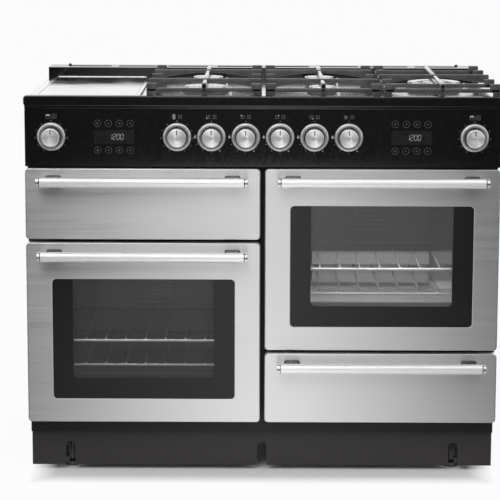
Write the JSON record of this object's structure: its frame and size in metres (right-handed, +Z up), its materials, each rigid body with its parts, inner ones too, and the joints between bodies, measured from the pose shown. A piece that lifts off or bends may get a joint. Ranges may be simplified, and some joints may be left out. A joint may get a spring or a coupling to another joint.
{
  "type": "range cooker",
  "caption": "Free-standing wide range cooker with drop-down ovens, glide-out grill, storage drawer, gas hob with cast grates and a warming plate.",
  "frame": {"origin": "on the floor under the middle of the overall box, handles and gas inlet included", "axes": "+X to the right of someone facing the cooker, along its width; +Y from the front to the back; +Z up"},
  "size_m": [1.1, 0.65, 0.932],
  "materials": {
    "brushed_front": "fine horizontal brush, satin",
    "dark_glass": "dark printed border round a smoky clear pane",
    "clear_glass": "clear heat-resistant pane",
    "oven_enamel": "dark vitreous enamel, satin gloss",
    "polished_chrome": "polished",
    "knob_metal": "turned face with fine circular lines",
    "black_enamel": "gloss black enamel",
    "zinc_steel": "zinc-coated sheet, dull",
    "hob_steel": "bright satin",
    "cast_iron": "matt black, slightly rough",
    "burner_alloy": "cast, satin",
    "seal_rubber": "matt",
    "white_ceramic": "plain glaze",
    "brass_fitting": "machined",
    "heater_rod": "oxidised sheath",
    "black_plastic": "matt black"
  },
  "bodies": {
    "cooker": {"oven_liner_left": "oven_enamel", "oven_liner_right": "oven_enamel", "grill_liner": "oven_enamel", "fan_baffles": "oven_enamel", "knob_bezels": "polished_chrome", "oven_shelves_left": "polished_chrome", "oven_shelves_right": "polished_chrome", "shelf_ladders": "polished_chrome", "control_panel": "black_enamel", "hob_trim": "black_enamel", "flue_riser": "black_enamel", "front_frame": "black_enamel", "plinth": "black_enamel", "side_panels": "black_enamel", "burner_caps": "black_enamel", "back_panel": "zinc_steel", "base_pan": "zinc_steel", "slide_rails": "zinc_steel", "door_hinges": "zinc_steel", "fan_motors": "zinc_steel", "levelling_feet": "zinc_steel", "hob_top": "hob_steel", "warming_plate": "hob_steel", "pan_support_left": "cast_iron", "pan_support_centre": "cast_iron", "pan_support_right": "cast_iron", "burner_heads": "burner_alloy", "oven_seals": "seal_rubber", "spark_plugs": "white_ceramic", "gas_inlet": "brass_fitting", "control_valves": "brass_fitting", "grill_element": "heater_rod", "clock_modules": "black_plastic"},
    "left_door": {"door_skin_left": "brushed_front", "door_glass_left": "dark_glass", "door_inner_frame_left": "oven_enamel", "door_inner_glass_left": "clear_glass", "door_handle_left": "polished_chrome"},
    "right_door": {"door_skin_right": "brushed_front", "door_glass_right": "dark_glass", "door_inner_frame_right": "oven_enamel", "door_inner_glass_right": "clear_glass", "door_handle_right": "polished_chrome"},
    "grill_drawer": {"grill_front": "brushed_front", "grill_tray": "oven_enamel", "grill_handle": "polished_chrome"},
    "storage_drawer": {"drawer_front": "brushed_front", "drawer_box": "zinc_steel", "drawer_handle": "polished_chrome"},
    "left_fan": {"oven_fan_left": "zinc_steel"},
    "right_fan": {"oven_fan_right": "zinc_steel"},
    "oven_left_knob": {"knob_oven_left": "knob_metal"},
    "warming_knob": {"knob_warming": "knob_metal"},
    "burner_1_knob": {"knob_burner_1": "knob_metal"},
    "burner_2_knob": {"knob_burner_2": "knob_metal"},
    "burner_3_knob": {"knob_burner_3": "knob_metal"},
    "burner_4_knob": {"knob_burner_4": "knob_metal"},
    "burner_5_knob": {"knob_burner_5": "knob_metal"},
    "oven_right_knob": {"knob_oven_right": "knob_metal"}
  },
  "joints": [
    {"name": "left_door_drop", "type": "hinge", "parent": "cooker", "child": "left_door", "pos_m": [-0.277, -0.263, 0.146], "axis": [1, 0, 0], "range_deg": [0, 90]},
    {"name": "right_door_drop", "type": "hinge", "parent": "cooker", "child": "right_door", "pos_m": [0.277, -0.263, 0.32], "axis": [1, 0, 0], "range_deg": [0, 90]},
    {"name": "grill_glide", "type": "slide", "parent": "cooker", "child": "grill_drawer", "axis": [0, -1, 0], "range_m": [0, 0.3]},
    {"name": "storage_glide", "type": "slide", "parent": "cooker", "child": "storage_drawer", "axis": [0, -1, 0], "range_m": [0, 0.3]},
    {"name": "oven_left_turn", "type": "hinge", "parent": "cooker", "child": "oven_left_knob", "pos_m": [-0.487, -0.275, 0.81], "axis": [0, 1, 0], "range_deg": [0, 270]},
    {"name": "warming_turn", "type": "hinge", "parent": "cooker", "child": "warming_knob", "pos_m": [-0.1975, -0.275, 0.81], "axis": [0, 1, 0], "range_deg": [0, 270]},
    {"name": "burner_1_turn", "type": "hinge", "parent": "cooker", "child": "burner_1_knob", "pos_m": [-0.1185, -0.275, 0.81], "axis": [0, -1, 0], "range_deg": [0, 210]},
    {"name": "burner_2_turn", "type": "hinge", "parent": "cooker", "child": "burner_2_knob", "pos_m": [-0.0395, -0.275, 0.81], "axis": [0, -1, 0], "range_deg": [0, 210]},
    {"name": "burner_3_turn", "type": "hinge", "parent": "cooker", "child": "burner_3_knob", "pos_m": [0.0395, -0.275, 0.81], "axis": [0, -1, 0], "range_deg": [0, 210]},
    {"name": "burner_4_turn", "type": "hinge", "parent": "cooker", "child": "burner_4_knob", "pos_m": [0.1185, -0.275, 0.81], "axis": [0, -1, 0], "range_deg": [0, 210]},
    {"name": "burner_5_turn", "type": "hinge", "parent": "cooker", "child": "burner_5_knob", "pos_m": [0.1975, -0.275, 0.81], "axis": [0, -1, 0], "range_deg": [0, 210]},
    {"name": "oven_right_turn", "type": "hinge", "parent": "cooker", "child": "oven_right_knob", "pos_m": [0.487, -0.275, 0.81], "axis": [0, 1, 0], "range_deg": [0, 270]},
    {"name": "left_fan_spin", "type": "hinge", "parent": "cooker", "child": "left_fan", "pos_m": [-0.277, 0.196, 0.355], "axis": [0, 1, 0], "continuous": true},
    {"name": "right_fan_spin", "type": "hinge", "parent": "cooker", "child": "right_fan", "pos_m": [0.277, 0.196, 0.529], "axis": [0, 1, 0], "continuous": true}
  ]
}
